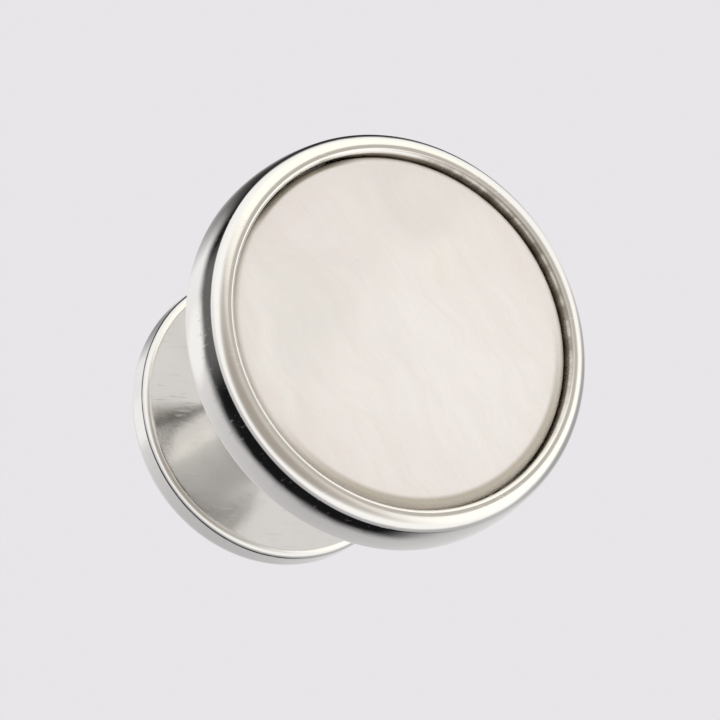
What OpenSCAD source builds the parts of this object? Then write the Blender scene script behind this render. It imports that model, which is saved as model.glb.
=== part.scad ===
// Shirt stud: a round mother-of-pearl inlay in a polished silver-coloured cup with a rounded
// rim, on a plain post that ends in a smaller round button behind the cloth.
//
// Millimetres. The stud's axis lies along Y. The face looks towards -Y, as worn, with +Z up.
// The origin is on the axis, midway along the grip, which is where the shirt holds the stud.
// Every piece is turned about Z first, with its face towards +Z, and then laid along Y.

/* [Cup] */
// Diameter of the face, across the outside of the rim
face_d = 10; // [8.6:0.1:14]
// Height of the cup, from its flat back to the crown of the rim
cup_h = 1.7; // [1.5:0.05:2.5]
// Thickness of the floor that the inlay lies on
floor_t = 0.6; // [0.55:0.01:0.7]
// Radius of the rim's rounding on its outside
rim_outer_r = 0.38; // [0.2:0.01:0.45]
// Radius of the rim's rounding on its inside, next to the inlay
rim_inner_r = 0.11; // [0.05:0.01:0.2]
// Width of the flat land on the crown of the rim, between its two roundings
rim_land_w = 0.04; // [0.03:0.01:0.2]
// Radius of the shallow bow of the cup's side
side_bow_r = 4; // [3.5:0.1:8]
// Height of the cup's widest point above its flat back
widest_h = 0.6; // [0.5:0.05:0.7]
// Radius of the rounding round the edge of the flat back
back_edge_r = 0.3; // [0.1:0.01:0.4]

/* [Inlay] */
// Height of the inlay's middle above the crown of the rim, below zero where it is sunk
inlay_rise = -0.12; // [-0.25:0.01:0.3]
// Rise of the inlay's face from its edge to its middle
inlay_dome = 0.06; // [0.02:0.01:0.2]
// Radius of the inlay's rounded shoulder
inlay_shoulder_r = 0.2; // [0.1:0.01:0.35]

/* [Post] */
// Diameter of the shank that goes through the buttonhole
shank_d = 2.4; // [2:0.1:3]
// Length of the grip, from the cup's back to the back button: room for the layers of cloth
grip_l = 5; // [4:0.1:8]
// Radius of the fillets where the shank meets the cup and the back button
shank_fillet_r = 0.4; // [0.1:0.05:0.6]
// Diameter of the back button
button_d = 7.2; // [6:0.1:9]
// Thickness of the back button on its axis
button_t = 1.2; // [1:0.05:2]
// Rise of the back button's outer face from its edge to its middle
button_dome = 0.25; // [0.05:0.01:0.3]
// Radius of the rounding between the back button's side and its outer face
button_edge_r = 0.4; // [0.1:0.01:0.4]
// Radius of the rounding on the side that touches the cloth
button_inner_r = 0.2; // [0.05:0.01:0.2]

/* [Joint of post and cup] */
// Depth of the seat that is sunk in the cup's back for the shank's foot
seat_h = 0.15; // [0.08:0.01:0.18]
// Diameter of the tenon that passes through the cup's floor
tenon_d = 1.3; // [0.8:0.05:1.5]
// Diameter of the tenon's spread end, flush with the floor under the inlay
rivet_d = 2; // [1.6:0.05:2.4]
// Depth of the spread end, and of the countersink that it fills
rivet_h = 0.25; // [0.15:0.01:0.3]

/* [Fit] */
// Clearance left between two pieces that fit together
clearance = 0.03; // [0.01:0.005:0.05]

/* [Hidden] */
$fn = 96;
// How far a cutting shape reaches past the surface that it cuts
over = 0.5;
face_r = face_d / 2;
// The cup's side is an arc about bow_x, and the rim's outer rounding runs into it without a
// break at an angle of rim_lean above the widest point
bow_x = face_r - side_bow_r;
rim_reach = side_bow_r - rim_outer_r;
rim_lean = asin((cup_h - rim_outer_r - widest_h) / rim_reach);
rim_x = bow_x + rim_reach * cos(rim_lean);
// The rounding of the back edge runs into it in the same way, below the widest point
back_reach = side_bow_r - back_edge_r;
back_lean = asin((widest_h - back_edge_r) / back_reach);
back_x = bow_x + back_reach * cos(back_lean);
pocket_r = rim_x - rim_land_w - rim_inner_r;
inlay_r = pocket_r - clearance;
// The inlay lies on the floor with the clearance under it, and its top sets its thickness
inlay_base_z = floor_t + clearance;
inlay_t = cup_h + inlay_rise - inlay_base_z;
shank_r = shank_d / 2;
// The fillet runs out flush with the cup's back, on the foot that stands in the seat
foot_r = shank_r + shank_fillet_r;
tenon_r = tenon_d / 2;
rivet_r = rivet_d / 2;

// What comes off outside a rounding of radius r that is centred on the origin, from the X axis
// to a line that leans towards it from the Y axis by lean degrees
module rounding_waste(r, lean = 0) {
    difference() {
        polygon((r + over) * [[0, 0], [sin(lean), cos(lean)], [1, 1], [1, 0]]);
        circle(r);
    }
}

// A concave fillet of radius r that fills the corner between the Y axis and the X axis
module fillet_section(r) {
    difference() {
        square(r);
        translate([r, r]) circle(r);
    }
}

// Half section of a disc with a flat base on Y = 0 and a domed top that reaches h on the
// axis. The dome would drop by rise at radius r, and a shoulder of radius edge_r runs into
// the dome and the side without a break.
module domed_disc_section(r, h, rise, edge_r) {
    dome_r = (r * r + rise * rise) / (2 * rise);
    shoulder_x = r - edge_r;
    reach = dome_r - edge_r;
    shoulder_y = h - dome_r + sqrt(reach * reach - shoulder_x * shoulder_x);
    difference() {
        intersection() {
            square([r, h]);
            // Its facets are as long as those of a circle of radius r
            translate([0, h - dome_r]) circle(dome_r, $fn = ceil($fn * dome_r / r));
        }
        // The dome meets the shoulder on the line through both of their centres
        translate([shoulder_x, shoulder_y]) rounding_waste(edge_r, asin(shoulder_x / reach));
    }
}

// Lays a piece that was turned with its face towards +Z along Y, with its face towards -Y
module as_worn() {
    rotate([90, 0, 0]) children();
}

// Half section of the cup, with its flat back on Y = 0
module setting_section() {
    hole_r = tenon_r + clearance;
    sink_r = rivet_r + clearance;
    difference() {
        intersection() {
            square([face_r, cup_h]);
            translate([bow_x, widest_h]) circle(side_bow_r, $fn = 2 * $fn);
        }
        translate([rim_x, cup_h - rim_outer_r]) mirror([1, -1])
            rounding_waste(rim_outer_r, rim_lean);
        translate([back_x, back_edge_r]) mirror([0, 1]) mirror([1, -1])
            rounding_waste(back_edge_r, back_lean);
        // Pocket for the inlay, and the rounding round its mouth
        translate([0, floor_t]) square([pocket_r, cup_h]);
        translate([pocket_r + rim_inner_r, cup_h - rim_inner_r]) mirror([1, 0])
            rounding_waste(rim_inner_r);
        // Seat for the shank's foot, hole for the tenon and countersink for its spread end
        translate([0, -over]) square([foot_r + clearance, over + seat_h]);
        translate([0, -over]) square([hole_r, floor_t + 2 * over]);
        polygon([[0, floor_t - rivet_h], [hole_r, floor_t - rivet_h], [sink_r, floor_t],
                 [sink_r, floor_t + over], [0, floor_t + over]]);
    }
}

// Half section of the post, with the cup's back on Y = 0 and the shank below it
module post_section() {
    button_r = button_d / 2;
    // Back button, whose flat inner face bears on the cloth
    translate([0, -grip_l]) mirror([0, 1]) difference() {
        domed_disc_section(button_r, button_t, button_dome, button_edge_r);
        translate([button_r - button_inner_r, button_inner_r]) mirror([0, 1])
            rounding_waste(button_inner_r);
    }
    // Shank, rooted in the middle of the back button, and the foot that stands in the seat
    translate([0, -grip_l - button_t / 2]) square([shank_r, grip_l + button_t / 2]);
    translate([shank_r, -grip_l]) fillet_section(shank_fillet_r);
    translate([shank_r, 0]) mirror([0, 1]) fillet_section(shank_fillet_r);
    square([foot_r, seat_h - clearance]);
    // Tenon and its spread end
    square([tenon_r, floor_t]);
    polygon([[0, floor_t - rivet_h], [tenon_r, floor_t - rivet_h], [rivet_r, floor_t], [0, floor_t]]);
}

module setting() {
    color([0.83, 0.83, 0.82]) as_worn() translate([0, 0, grip_l / 2])
        rotate_extrude() setting_section();
}

module inlay() {
    color([0.93, 0.90, 0.87]) as_worn() translate([0, 0, grip_l / 2 + inlay_base_z])
        rotate_extrude() domed_disc_section(inlay_r, inlay_t, inlay_dome, inlay_shoulder_r);
}

module post() {
    color([0.78, 0.78, 0.77]) as_worn() translate([0, 0, grip_l / 2])
        rotate_extrude() post_section();
}

setting();
inlay();
post();
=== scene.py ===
"""Shirt stud: a round mother-of-pearl inlay in a polished silver-coloured cup, on a plain post.

Every length below is in millimetres until it becomes a mesh. The stud's axis lies along Y and its
face looks towards -Y. A section is a list of (r, z) points in mm: r is the distance from the axis,
and z runs along the axis from the origin towards the face.
"""
import math

import bmesh
import bpy
from mathutils import Matrix, Vector


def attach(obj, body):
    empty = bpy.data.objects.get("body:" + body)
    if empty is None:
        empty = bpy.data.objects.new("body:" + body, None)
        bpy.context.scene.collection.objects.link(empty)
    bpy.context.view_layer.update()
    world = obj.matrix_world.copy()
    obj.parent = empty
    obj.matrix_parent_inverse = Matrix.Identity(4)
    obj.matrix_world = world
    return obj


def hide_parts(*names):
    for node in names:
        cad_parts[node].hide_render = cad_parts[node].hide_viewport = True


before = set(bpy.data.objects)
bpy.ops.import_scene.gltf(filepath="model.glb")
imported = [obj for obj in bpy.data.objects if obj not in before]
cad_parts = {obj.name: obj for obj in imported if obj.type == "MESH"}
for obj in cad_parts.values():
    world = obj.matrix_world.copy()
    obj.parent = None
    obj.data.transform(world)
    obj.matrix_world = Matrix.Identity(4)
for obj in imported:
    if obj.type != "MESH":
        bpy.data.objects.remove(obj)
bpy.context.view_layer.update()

MM = 0.001

# Cup
FACE_R = 5.0
CUP_H = 1.7
FLOOR_T = 0.6
RIM_OUTER_R = 0.38
RIM_INNER_R = 0.11
RIM_LAND_W = 0.04
SIDE_BOW_R = 4.0
WIDEST_H = 0.6
BACK_EDGE_R = 0.3
# Inlay
INLAY_RISE = -0.12
INLAY_DOME = 0.06
INLAY_SHOULDER_R = 0.2
# Post
SHANK_R = 1.2
GRIP_L = 5.0
SHANK_FILLET_R = 0.4
BUTTON_R = 3.6
BUTTON_T = 1.2
BUTTON_DOME = 0.25
BUTTON_EDGE_R = 0.4
BUTTON_INNER_R = 0.2
# Joint of post and cup
SEAT_H = 0.15
TENON_R = 0.65
RIVET_R = 1.0
RIVET_H = 0.25
CLEARANCE = 0.03

BACK_Z = GRIP_L / 2
CROWN_Z = BACK_Z + CUP_H
FLOOR_Z = BACK_Z + FLOOR_T
# The cup's side is an arc about (BOW_R, BOW_Z), which its two roundings run into at these angles
BOW_R = FACE_R - SIDE_BOW_R
BOW_Z = BACK_Z + WIDEST_H
RIM_LEAN = math.asin((CUP_H - RIM_OUTER_R - WIDEST_H) / (SIDE_BOW_R - RIM_OUTER_R))
RIM_ROUNDING_R = BOW_R + (SIDE_BOW_R - RIM_OUTER_R) * math.cos(RIM_LEAN)
BACK_LEAN = math.asin((WIDEST_H - BACK_EDGE_R) / (SIDE_BOW_R - BACK_EDGE_R))
BACK_ROUNDING_R = BOW_R + (SIDE_BOW_R - BACK_EDGE_R) * math.cos(BACK_LEAN)
POCKET_R = RIM_ROUNDING_R - RIM_LAND_W - RIM_INNER_R
INLAY_R = POCKET_R - CLEARANCE
FOOT_R = SHANK_R + SHANK_FILLET_R

# Fineness of the meshes
SEGMENTS = 384
ARC_STEP_DEG = 4
DOME_RINGS = 40
# Distance from the ends of a straight stretch to the points that keep its shading flat
HOLD = 0.015
# Two points closer than this are one, and a point this close to the axis is on it
SAME_POINT = 1e-6


def arc(centre_r, centre_z, radius, start, end):
    """Points of an arc, from one angle to the other, in degrees from the +r direction."""
    steps = max(2, round(abs(end - start) / ARC_STEP_DEG))
    angles = [math.radians(start + (end - start) * i / steps) for i in range(steps + 1)]
    return [(centre_r + radius * math.cos(a), centre_z + radius * math.sin(a)) for a in angles]


def held(a, b):
    """The two holding points of the straight stretch from a to b, or none where it is short."""
    length = math.dist(a, b)
    if length < 4 * HOLD:
        return []
    share = HOLD / length
    return [tuple(p + (q - p) * s for p, q in zip(a, b)) for s in (share, 1 - share)]


def section(*stretches):
    """One outline from arcs and single points, with holding points in its straight stretches."""
    outline = []
    for stretch in stretches:
        points = stretch if isinstance(stretch, list) else [stretch]
        if outline:
            outline += held(outline[-1], points[0])
        for point in points:
            if not outline or math.dist(outline[-1], point) > SAME_POINT:
                outline.append(point)
    return outline


def turned(name, outline, closed=False):
    """A mesh object from an outline that is turned about the axis.

    A closed outline goes round a hollow middle. An open one starts and ends on the axis.
    """
    angles = [2 * math.pi * i / SEGMENTS for i in range(SEGMENTS)]
    bm = bmesh.new()
    rings = []
    for r, z in outline:
        if r < SAME_POINT:
            rings.append([bm.verts.new((0, -z * MM, 0))])
            continue
        places = [(r * MM * math.cos(a), -z * MM, r * MM * math.sin(a)) for a in angles]
        rings.append([bm.verts.new(place) for place in places])
    pairs = list(zip(rings, rings[1:]))
    if closed:
        pairs.append((rings[-1], rings[0]))
    for lower, upper in pairs:
        for i in range(SEGMENTS):
            j = (i + 1) % SEGMENTS
            corners = [
                lower[i % len(lower)], lower[j % len(lower)],
                upper[j % len(upper)], upper[i % len(upper)],
            ]
            # Next to a point on the axis two of the corners are the same, and one is left out
            bm.faces.new(dict.fromkeys(corners))
    bmesh.ops.recalc_face_normals(bm, faces=bm.faces)
    mesh = bpy.data.meshes.new(name)
    bm.to_mesh(mesh)
    bm.free()
    mesh.shade_smooth()
    piece = bpy.data.objects.new(name, mesh)
    bpy.context.scene.collection.objects.link(piece)
    return piece


def domed_top(r, top_z, rise, edge_r):
    """The shoulder and the dome of a disc, from its side at radius r to its middle at top_z."""
    dome_r = (r * r + rise * rise) / (2 * rise)
    reach = dome_r - edge_r
    shoulder_r = r - edge_r
    dome_z = top_z - dome_r
    shoulder_z = dome_z + math.sqrt(reach * reach - shoulder_r * shoulder_r)
    lean = math.degrees(math.asin(shoulder_r / reach))
    shoulder = arc(shoulder_r, shoulder_z, edge_r, 0, 90 - lean)
    dome = []
    for i in range(1, DOME_RINGS + 1):
        a = math.radians(lean * (1 - i / DOME_RINGS))
        dome.append((dome_r * math.sin(a), dome_z + dome_r * math.cos(a)))
    return shoulder + dome


def bowed_side():
    """The cup's side, from its flat back to the rim's crown: a shallow bow and two roundings."""
    rim_lean = math.degrees(RIM_LEAN)
    back_lean = math.degrees(BACK_LEAN)
    return (
        arc(BACK_ROUNDING_R, BACK_Z + BACK_EDGE_R, BACK_EDGE_R, -90, -back_lean)
        + arc(BOW_R, BOW_Z, SIDE_BOW_R, -back_lean, rim_lean)
        + arc(RIM_ROUNDING_R, CROWN_Z - RIM_OUTER_R, RIM_OUTER_R, rim_lean, 90)
    )


def make_setting():
    hole_r = TENON_R + CLEARANCE
    outline = section(
        (FOOT_R + CLEARANCE, BACK_Z),
        bowed_side(),
        arc(POCKET_R + RIM_INNER_R, CROWN_Z - RIM_INNER_R, RIM_INNER_R, 90, 180),
        (POCKET_R, FLOOR_Z),
        (RIVET_R + CLEARANCE, FLOOR_Z),
        (hole_r, FLOOR_Z - RIVET_H),
        (hole_r, BACK_Z + SEAT_H),
        (FOOT_R + CLEARANCE, BACK_Z + SEAT_H),
    )
    return turned("setting_turned", outline, closed=True)


def make_inlay():
    base_z = FLOOR_Z + CLEARANCE
    outline = section(
        (0, base_z),
        (INLAY_R, base_z),
        domed_top(INLAY_R, CROWN_Z + INLAY_RISE, INLAY_DOME, INLAY_SHOULDER_R),
    )
    return turned("inlay_turned", outline)


def make_post():
    button_z = -BACK_Z
    domed = domed_top(BUTTON_R, BUTTON_T, BUTTON_DOME, BUTTON_EDGE_R)
    outline = section(
        [(r, button_z - z) for r, z in reversed(domed)],
        arc(BUTTON_R - BUTTON_INNER_R, button_z - BUTTON_INNER_R, BUTTON_INNER_R, 0, 90),
        arc(FOOT_R, button_z + SHANK_FILLET_R, SHANK_FILLET_R, 270, 180),
        arc(FOOT_R, BACK_Z - SHANK_FILLET_R, SHANK_FILLET_R, 180, 90),
        (FOOT_R, BACK_Z + SEAT_H - CLEARANCE),
        (TENON_R, BACK_Z + SEAT_H - CLEARANCE),
        (TENON_R, FLOOR_Z - RIVET_H),
        (RIVET_R, FLOOR_Z),
        (0, FLOOR_Z),
    )
    return turned("post_turned", outline)


class Nodes:
    """Short calls for building a node tree. An input that is a socket is linked, others are set."""

    def __init__(self, tree):
        self.tree = tree
        tree.nodes.clear()

    def add(self, kind, inputs=None, **settings):
        node = self.tree.nodes.new("ShaderNode" + kind)
        for name, value in settings.items():
            setattr(node, name, value)
        for key, value in (inputs or {}).items():
            if isinstance(value, bpy.types.NodeSocket):
                self.tree.links.new(value, node.inputs[key])
            else:
                node.inputs[key].default_value = value
        return node

    def math(self, operation, *values):
        return self.add("Math", dict(enumerate(values)), operation=operation).outputs[0]

    def product(self, first, *others):
        for other in others:
            first = self.math("MULTIPLY", first, other)
        return first

    def vector(self, operation, *values):
        return self.add("VectorMath", dict(enumerate(values)), operation=operation).outputs[0]

    def dot(self, a, b):
        return self.add("VectorMath", {0: a, 1: b}, operation="DOT_PRODUCT").outputs["Value"]

    def length(self, a):
        return self.add("VectorMath", {0: a}, operation="LENGTH").outputs["Value"]

    def noise(self, vector, scale, detail=2.0, roughness=0.5, distortion=0.0):
        inputs = {
            "Vector": vector, "Scale": scale, "Detail": detail,
            "Roughness": roughness, "Distortion": distortion,
        }
        return self.add("TexNoise", inputs).outputs[0]

    def smooth(self, value, low, high, to_low=0.0, to_high=1.0):
        """Runs smoothly from to_low, where value is low, to to_high, where value is high."""
        inputs = {
            "Value": value, "From Min": low, "From Max": high,
            "To Min": to_low, "To Max": to_high,
        }
        return self.add("MapRange", inputs, interpolation_type="SMOOTHSTEP").outputs[0]

    def mix(self, share, a, b):
        """Colour a where share is 0, colour b where share is 1."""
        return self.add("Mix", {0: share, 6: a, 7: b}, data_type="RGBA").outputs[2]

    def bump(self, height, depth_mm, normal=None):
        inputs = {"Height": height, "Distance": depth_mm * MM, "Strength": 1.0}
        if normal:
            inputs["Normal"] = normal
        return self.add("Bump", inputs).outputs[0]


def rgba(red, green, blue):
    return (red, green, blue, 1)


def material(name):
    mat = bpy.data.materials.new(name)
    mat.use_nodes = True
    nodes = Nodes(mat.node_tree)
    shader = nodes.add("BsdfPrincipled")
    nodes.add("OutputMaterial", {"Surface": shader.outputs[0]})
    return mat, nodes, shader


def finish(n, shader, colour, roughness, normal):
    for name, value in (("Base Color", colour), ("Roughness", roughness), ("Normal", normal)):
        n.tree.links.new(value, shader.inputs[name])


# How fast the turning marks change round the axis and across it
MARKS_AROUND = 3
MARKS_ACROSS = 9


def round_axis(n):
    """Where a point is, in mm.

    Gives its place, its distance from the axis, how far it is along the axis towards the face, its
    direction from the axis, and a place that is drawn out along the turning marks.
    """
    place = n.vector("MULTIPLY", n.add("TexCoord").outputs["Object"], (1 / MM, 1 / MM, 1 / MM))
    across = n.vector("MULTIPLY", place, (1, 0, 1))
    radius = n.length(across)
    along = n.dot(place, (0, -1, 0))
    ring = n.vector("NORMALIZE", across)
    depth = n.add("CombineXYZ", {1: n.math("ADD", radius, along)}).outputs[0]
    around = n.vector("MULTIPLY", ring, (MARKS_AROUND, 0, MARKS_AROUND))
    marks = n.vector("ADD", around, n.vector("MULTIPLY", depth, (0, MARKS_ACROSS, 0)))
    return place, radius, along, ring, marks


SETTING_COLOUR = (0.935, 0.922, 0.897)
POST_COLOUR = (0.90, 0.89, 0.87)
PATINA = (0.80, 0.76, 0.68)
# A darker tint: tarnish at the post's corners, dirt in the setting's seat, and painted shade with
# dirt in the setting's groove
TARNISH_AND_SHADE = (0.34, 0.31, 0.26)
# Clean metal: depth of the turning marks and roughness
SETTING_FINISH = (0.0004, 0.035)
POST_FINISH = (0.0012, 0.08)
# What patina covers at most, and what smudges, hairlines and the tarnish and painted shade add to
# the roughness
PATINA_SHARE = 0.10
SMUDGE_ROUGHNESS = 0.06
HAIRLINE_ROUGHNESS = 0.12
TARNISH_AND_SHADE_ROUGHNESS = 0.35
# Depths of the surface's unevenness
WAVE_DEPTH = 0.012
RIPPLE_DEPTH = 0.0008
HAIRLINE_DEPTH = 0.0004
BROAD_MARK_SHARE = 0.4


def polished(name, colour, shade, mark_depth, clean_roughness):
    """A polished, silver-coloured plating.

    It has faint waves, turning marks, hairlines, smudges, patina, and a darker tint where shade
    says: tarnish and dirt, and in the setting's groove painted shade as well.
    """
    mat, n, shader = material(name)
    shader.inputs["Metallic"].default_value = 1
    place, radius, along, ring, marks = round_axis(n)
    hairlines = n.noise(n.vector("MULTIPLY", place, (0.6, 2.0, 9.0)), 2.2, 2.0)
    hairlines = n.smooth(hairlines, 0.62, 0.70)
    smudge = n.noise(place, 0.55, 3.0, 0.55, 0.4)
    dark = shade(n, radius, along, ring, marks)

    patina = n.product(n.smooth(smudge, 0.45, 0.75), PATINA_SHARE)
    tint = n.mix(patina, rgba(*colour), rgba(*PATINA))
    # Darker where shade says: tarnish and dirt, with painted shade in the setting's groove
    tint = n.mix(dark, tint, rgba(*TARNISH_AND_SHADE))

    smudged = clean_roughness + SMUDGE_ROUGHNESS
    rough = n.smooth(smudge, 0.3, 0.75, clean_roughness, smudged)
    rough = n.math("ADD", rough, n.product(hairlines, HAIRLINE_ROUGHNESS))
    rough = n.math("ADD", rough, n.product(dark, TARNISH_AND_SHADE_ROUGHNESS))

    normal = n.bump(n.noise(place, 0.9, 1.0), WAVE_DEPTH)
    normal = n.bump(n.noise(place, 3.5, 2.0), RIPPLE_DEPTH, normal)
    normal = n.bump(n.noise(marks, 1.0, 1.0), BROAD_MARK_SHARE * mark_depth, normal)
    normal = n.bump(n.noise(marks, 4.0, 3.0, 0.6), mark_depth, normal)
    normal = n.bump(hairlines, HAIRLINE_DEPTH, normal)
    finish(n, shader, tint, rough, normal)
    return mat


# The side of the groove, as a direction from the axis, where the painted shade and dirt are
# heaviest
SHADE_AND_DIRT_SIDE = (0.7, 0, 0.71)
# The side where the groove has almost none of the painted shade and dirt
PALE_GROOVE_SIDE = (-0.03, 0, 1.0)


def groove_shade(n, radius, along, ring, marks):
    """Painted shade, polish and dirt in the groove between the rim and the inlay; polish and dirt
    in the seat.
    """
    inside = n.smooth(along, FLOOR_Z - 0.05, FLOOR_Z + 0.05)
    near = n.smooth(radius, POCKET_R + 0.11, POCKET_R + 0.02)
    deep = n.smooth(along, CROWN_Z + 0.005, CROWN_Z - 0.025)
    # Painted shade: the groove is darkened more on one side and hardly at all on another
    shade_dirt_weight = n.smooth(n.dot(ring, SHADE_AND_DIRT_SIDE), -0.2, 0.8, 0.35, 1.0)
    pale_cut = n.smooth(n.dot(ring, PALE_GROOVE_SIDE), 0.93, 0.99, 1.0, 0.0)
    patchy = n.smooth(n.noise(marks, 0.35, 1.0), 0.34, 0.56, 0.6, 1.0)
    specks = n.smooth(n.noise(ring, 11.0, 2.0), 0.40, 0.60, 0.5, 1.0)
    groove = n.product(inside, near, deep, shade_dirt_weight, pale_cut, patchy, specks)
    seat = n.smooth(radius, FOOT_R + 0.25, FOOT_R + 0.02, 0, 0.7)
    behind = n.smooth(along, BACK_Z + 0.3, BACK_Z + 0.1)
    return n.math("MAXIMUM", groove, n.product(seat, behind))


def post_shade(n, radius, along, _ring, _marks):
    """A film of tarnish in the corners at both ends of the shank."""
    height = n.math("ABSOLUTE", along)
    rising = n.smooth(height, BACK_Z - 0.35, BACK_Z + 0.02)
    falling = n.smooth(height, BACK_Z + 0.4, BACK_Z + 0.2)
    near = n.smooth(radius, FOOT_R + 0.5, SHANK_R + 0.1, 0, 0.4)
    return n.product(rising, falling, near)


# The nacre's two main colours, and the middle (x, z) and half widths of the bright one
PEARL_DULL = (0.862, 0.822, 0.806)
PEARL_BRIGHT = (0.932, 0.905, 0.903)
BRIGHT_PATCH = ((1.0, -1.1), (5.2, 5.0))
# Soft patches in the nacre, and a painted highlight near its left edge: middle (x, z), half widths,
# colour, and how strongly they show
PEARL_PATCHES_AND_HIGHLIGHT = (
    ((0.2, 3.5), (2.8, 1.5), (0.775, 0.745, 0.732), 0.55),
    ((-2.7, 0.3), (1.3, 3.0), (0.790, 0.788, 0.765), 0.55),
    ((-1.7, 2.2), (1.3, 1.2), (0.822, 0.765, 0.770), 0.55),
    ((1.4, 1.8), (1.0, 0.9), (0.905, 0.882, 0.810), 0.55),
    ((2.2, 0.2), (1.4, 1.6), (0.928, 0.872, 0.872), 0.50),
    ((-0.4, -0.4), (0.9, 1.2), (0.862, 0.860, 0.838), 0.40),
    ((0.8, -3.0), (2.0, 1.0), (0.850, 0.800, 0.798), 0.40),
    # A painted highlight: a bright crescent near the left edge
    ((-3.6, -0.7), (0.6, 1.7), (0.915, 0.910, 0.900), 0.60),
)
CLOUDS = (0.935, 0.922, 0.912)
GROWTH_LINES = (0.780, 0.735, 0.700)
SILK = (0.720, 0.660, 0.620)
SHOULDER_TINT = (0.70, 0.64, 0.57)
# Painted shade on the lower part of the shoulder
SHOULDER_SHADE = (0.52, 0.48, 0.41)
# Painted shadow of the rim on the shoulder's edge
RIM_SHADOW = (0.27, 0.24, 0.19)
# The side of the shoulder, as a direction from the axis, where the painted shade is broadest
SHOULDER_SHADE_SIDE = (0.34, 0, -0.94)
# The side where the painted shadow of the rim darkens the edge of the shoulder most
RIM_SHADOW_SIDE = (-0.53, 0, 0.85)

# How far the patches are warped, how much of that the growth lines follow, and their slant
WARP = 3.2
FOLLOW = 0.45
SLANT_DEG = 28
GROWTH_DEPTH = 0.003
SILK_DEPTH = 0.0004
PEARL_SHADER = (
    ("IOR", 1.55),
    ("Coat Weight", 0.7),
    ("Coat Roughness", 0.03),
    ("Coat IOR", 1.5),
    ("Subsurface Weight", 0.15),
    ("Subsurface Scale", 0.3 * MM),
    ("Subsurface Radius", (1.0, 0.85, 0.7)),
)


def pearl_patches_and_highlight(n, warped):
    """The nacre's soft patches of colour and a painted highlight, one over the other."""

    def patch(centre, size):
        """0 in the middle of a patch and 1 at its edge."""
        offset = n.vector("SUBTRACT", warped, (centre[0], 0, centre[1]))
        return n.length(n.vector("MULTIPLY", offset, (1 / size[0], 0, 1 / size[1])))

    bright = n.smooth(patch(*BRIGHT_PATCH), 1.05, 0.1)
    hue = n.mix(bright, rgba(*PEARL_DULL), rgba(*PEARL_BRIGHT))
    for centre, size, colour, strength in PEARL_PATCHES_AND_HIGHLIGHT:
        share = n.smooth(patch(centre, size), 1.1, 0.1, 0, strength)
        hue = n.mix(share, hue, rgba(*colour))
    return hue


def pearl_shoulder(n, hue, radius, ring):
    """The colour hue with the shoulder's tint, painted shade and a painted shadow of the rim over
    it.

    The tint goes all round. The painted shade is broad at the lower right and ends on the other
    side.
    The painted shadow darkens the shoulder's edge at the upper left.
    """
    tint = n.smooth(radius, INLAY_R - 0.14, INLAY_R - 0.01)
    hue = n.mix(tint, hue, rgba(*SHOULDER_TINT))
    # Painted shade on the shoulder, broadest at the lower right
    side = n.smooth(n.dot(ring, SHOULDER_SHADE_SIDE), 0.1, 0.85)
    starts = n.smooth(radius, INLAY_R - 0.36, INLAY_R - 0.22)
    fades = n.smooth(radius, INLAY_R - 0.02, INLAY_R - 0.14, 0.3, 1.0)
    hue = n.mix(n.product(side, starts, fades), hue, rgba(*SHOULDER_SHADE))
    # Painted shadow of the rim on the shoulder's edge, at the upper left
    side = n.smooth(n.dot(ring, RIM_SHADOW_SIDE), 0.90, 0.985)
    starts = n.smooth(radius, INLAY_R - 0.19, INLAY_R - 0.10)
    return n.mix(n.product(side, starts), hue, rgba(*RIM_SHADOW))


def pearl_material():
    mat, n, shader = material("mother_of_pearl")
    for name, value in PEARL_SHADER:
        shader.inputs[name].default_value = value
    place, radius, _along, ring, _marks = round_axis(n)
    swirl = n.add("TexNoise", {"Vector": place, "Scale": 0.45, "Detail": 2.0}).outputs["Color"]
    swirl = n.vector("SUBTRACT", swirl, (0.5, 0.5, 0.5))
    swirl = n.vector("MULTIPLY", swirl, (WARP, 0, WARP))
    drawn = n.vector("ADD", place, n.vector("MULTIPLY", swirl, (FOLLOW, 0, FOLLOW)))
    slant = (0, math.radians(SLANT_DEG), 0)
    slanted = n.add("Mapping", {"Vector": drawn, "Rotation": slant}).outputs[0]
    cloud = n.noise(slanted, 0.5, 3.0, 0.55, 0.5)
    growth = n.noise(n.vector("MULTIPLY", slanted, (2.4, 1.0, 0.5)), 0.9, 2.5, 0.5, 0.15)
    silk = n.noise(n.vector("MULTIPLY", slanted, (9.0, 1.0, 1.1)), 1.1, 2.5, 0.55, 0.1)

    hue = pearl_patches_and_highlight(n, n.vector("ADD", place, swirl))
    hue = n.mix(n.smooth(cloud, 0.35, 0.68, 0, 0.30), hue, rgba(*CLOUDS))
    hue = n.mix(n.smooth(growth, 0.40, 0.68, 0, 0.19), hue, rgba(*GROWTH_LINES))
    hue = n.mix(n.smooth(silk, 0.42, 0.70, 0, 0.10), hue, rgba(*SILK))
    hue = pearl_shoulder(n, hue, radius, ring)

    rough = n.smooth(growth, 0.2, 0.8, 0.20, 0.34)
    normal = n.bump(growth, GROWTH_DEPTH)
    normal = n.bump(silk, SILK_DEPTH, normal)
    finish(n, shader, hue, rough, normal)
    return mat


# Camera
VIEW_AZIMUTH = -27.9
VIEW_ELEVATION = -16.2
VIEW_ROLL = 6.2
VIEW_DISTANCE = 300
VIEW_WIDTH = 17.0
SENSOR = 36
# Where the camera looks: the middle of the face, moved back a little to take in the post
VIEW_TARGET = (-0.3, -2.4, -0.2)
# The nearest and farthest that the camera sees, in metres
VIEW_CLIP_M = (0.001, 20)


def camera_direction():
    """The direction from the stud to the camera."""
    azimuth = math.radians(VIEW_AZIMUTH)
    elevation = math.radians(VIEW_ELEVATION)
    return Vector((
        math.sin(azimuth) * math.cos(elevation),
        -math.cos(azimuth) * math.cos(elevation),
        math.sin(elevation),
    ))


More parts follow.
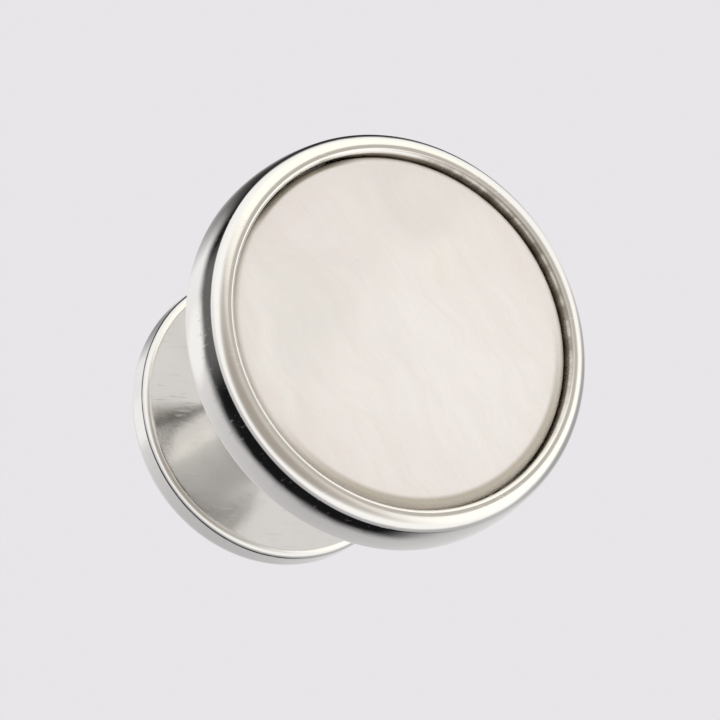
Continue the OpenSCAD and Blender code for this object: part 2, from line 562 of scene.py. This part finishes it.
def make_camera():
    back = camera_direction()
    data = bpy.data.cameras.new("camera")
    data.sensor_width = SENSOR
    data.lens = SENSOR * VIEW_DISTANCE / VIEW_WIDTH
    data.clip_start, data.clip_end = VIEW_CLIP_M
    camera = bpy.data.objects.new("camera", data)
    bpy.context.scene.collection.objects.link(camera)
    turn = (-back).to_track_quat("-Z", "Y").to_matrix().to_4x4()
    turn = turn @ Matrix.Rotation(math.radians(-VIEW_ROLL), 4, "Z")
    target = Vector(VIEW_TARGET) * MM
    camera.matrix_world = Matrix.Translation(target + back * VIEW_DISTANCE * MM) @ turn
    bpy.context.scene.camera = camera


BACKDROP = (0.807, 0.790, 0.815)
# The room in front of the stud, and behind it at the bottom and at the top
ROOM_FRONT = (1.0, 0.99, 0.97)
ROOM_LOW = (0.46, 0.45, 0.46)
ROOM_HIGH = (0.95, 0.94, 0.94)
# The part of the room that the face looks straight at
ROOM_AHEAD = (0.60, 0.56, 0.52)
DARK_BAND = (0.008, 0.008, 0.009)


def cos_deg(degrees):
    return math.cos(math.radians(degrees))


def bearing(degrees):
    """A direction square to the stud's axis, in degrees from +X towards +Z."""
    return (cos_deg(degrees), 0, cos_deg(degrees - 90))


def band_share(n, direction, front):
    """The share of the dark band in a direction.

    The band runs round behind the stud, open on the right and a little fainter at the upper left.
    """
    around = n.vector("NORMALIZE", n.vector("MULTIPLY", direction, (1, 0, 1)))
    arch = n.smooth(n.dot(around, bearing(176)), cos_deg(154), cos_deg(114))
    fainter = n.smooth(n.dot(around, bearing(152)), cos_deg(38), cos_deg(16), 1, 0.85)
    starts = n.smooth(front, cos_deg(111), cos_deg(121))
    ends = n.smooth(front, cos_deg(144), cos_deg(135))
    return n.product(arch, fainter, starts, ends)


def make_world():
    """The room that reflections and light come from, and the plain backdrop that the camera sees.

    The room is pale, with bright and dim round places and a dark band.
    """
    world = bpy.data.worlds.new("studio")
    world.use_nodes = True
    bpy.context.scene.world = world
    n = Nodes(world.node_tree)
    direction = n.add("TexCoord").outputs["Generated"]
    front = n.dot(direction, (0, -1, 0))
    height = n.dot(direction, (0, 0, 1))
    toward = camera_direction()
    mirrored = (-toward.x, toward.y, -toward.z)

    def with_places(light, places):
        """The light with round places over it.

        Each has a direction, the angles off it where it starts to fade and ends, and a colour.
        """
        for aim, inner, outer, colour in places:
            share = n.smooth(n.dot(direction, aim), cos_deg(outer), cos_deg(inner))
            light = n.mix(share, light, rgba(*colour))
        return light

    behind = n.mix(n.smooth(height, -0.9, 0.9), rgba(*ROOM_LOW), rgba(*ROOM_HIGH))
    light = n.mix(n.smooth(front, cos_deg(80), cos_deg(100)), rgba(*ROOM_FRONT), behind)
    light = n.mix(n.smooth(front, cos_deg(60), cos_deg(25)), light, rgba(*ROOM_AHEAD))
    light = with_places(light, (
        # The two bright places that the rim shows, where the area lights are
        ((0.18, -0.643, 0.745), 10, 38, (1.13, 1.10, 1.00)),
        ((0.745, -0.643, -0.175), 10, 38, (1.16, 1.13, 1.07)),
        # What the inlay mirrors to the camera, the room round the camera, and the right
        (mirrored, 3, 14, (0.52, 0.49, 0.45)),
        (tuple(toward), 8, 45, (0.40, 0.36, 0.32)),
        ((1, 0.1, 0), 5, 32, (0.38, 0.38, 0.39)),
    ))
    light = n.mix(band_share(n, direction, front), light, rgba(*DARK_BAND))
    light = with_places(light, (
        # A bright gap behind on the left, and a dark place behind and above
        ((-0.487, 0.839, 0.244), 6, 13, (0.95, 0.94, 0.93)),
        ((0.28, 0.574, 0.77), 13, 35, (0.03, 0.03, 0.03)),
    ))
    seen = n.mix(n.add("LightPath").outputs["Is Camera Ray"], light, rgba(*BACKDROP))
    background = n.add("Background", {"Color": seen})
    n.add("OutputWorld", {"Surface": background.outputs[0]})


LIGHT_DISTANCE = 250


def make_area_light(name, direction, size, radiance):
    """A soft box that faces the stud. Reflections leave it out: the world has its bright place."""
    data = bpy.data.lights.new(name, "AREA")
    data.shape = "RECTANGLE"
    data.size = size[0] * MM
    data.size_y = size[1] * MM
    data.energy = radiance * math.pi * data.size * data.size_y
    light = bpy.data.objects.new(name, data)
    bpy.context.scene.collection.objects.link(light)
    light.visible_glossy = False
    place = Vector(direction).normalized() * LIGHT_DISTANCE * MM
    turn = (-place).to_track_quat("-Z", "Y").to_matrix().to_4x4()
    light.matrix_world = Matrix.Translation(place) @ turn


GROUND_Z = -150
GROUND_SIZE = 3000
GROUND_DARK = (0.49, 0.48, 0.50)
GROUND_PALE = (0.51, 0.50, 0.52)
GROUND_ROUGHNESS = 0.8
GROUND_GLOW_COLOUR = (0.96, 0.95, 1.0)
GROUND_GLOW = 0.41


def make_floor():
    """A plain pale floor, far below the stud. Only the camera sees it."""
    mesh = bpy.data.meshes.new("floor")
    half = GROUND_SIZE / 2 * MM
    corners = [(-half, -half, 0), (half, -half, 0), (half, half, 0), (-half, half, 0)]
    mesh.from_pydata(corners, [], [(0, 1, 2, 3)])
    floor = bpy.data.objects.new("floor", mesh)
    bpy.context.scene.collection.objects.link(floor)
    floor.location.z = GROUND_Z * MM
    mat, n, shader = material("floor")
    grain = n.noise(n.add("TexCoord").outputs["Object"], 60.0, 3.0)
    tint = n.mix(grain, rgba(*GROUND_DARK), rgba(*GROUND_PALE))
    n.tree.links.new(tint, shader.inputs["Base Color"])
    shader.inputs["Roughness"].default_value = GROUND_ROUGHNESS
    shader.inputs["Emission Color"].default_value = rgba(*GROUND_GLOW_COLOUR)
    shader.inputs["Emission Strength"].default_value = GROUND_GLOW
    mesh.materials.append(mat)
    for ray in ("diffuse", "glossy", "transmission", "shadow"):
        setattr(floor, "visible_" + ray, False)


setting = make_setting()
inlay = make_inlay()
post = make_post()
for piece, node, slot in (
    (setting, "setting", "setting_metal"),
    (inlay, "inlay", "mother_of_pearl"),
    (post, "post", "post_metal"),
):
    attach(piece, "root")
    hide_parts(node)

setting_metal = polished("setting_metal", SETTING_COLOUR, groove_shade, *SETTING_FINISH)
setting.data.materials.append(setting_metal)
post_metal = polished("post_metal", POST_COLOUR, post_shade, *POST_FINISH)
post.data.materials.append(post_metal)
inlay.data.materials.append(pearl_material())

make_camera()
make_world()
make_area_light("key", (0.1, -0.65, 0.75), (120, 90), 2.9)
make_area_light("fill", (0.75, -0.64, -0.18), (90, 90), 2.4)
make_floor()
bpy.context.scene.view_settings.view_transform = "Standard"
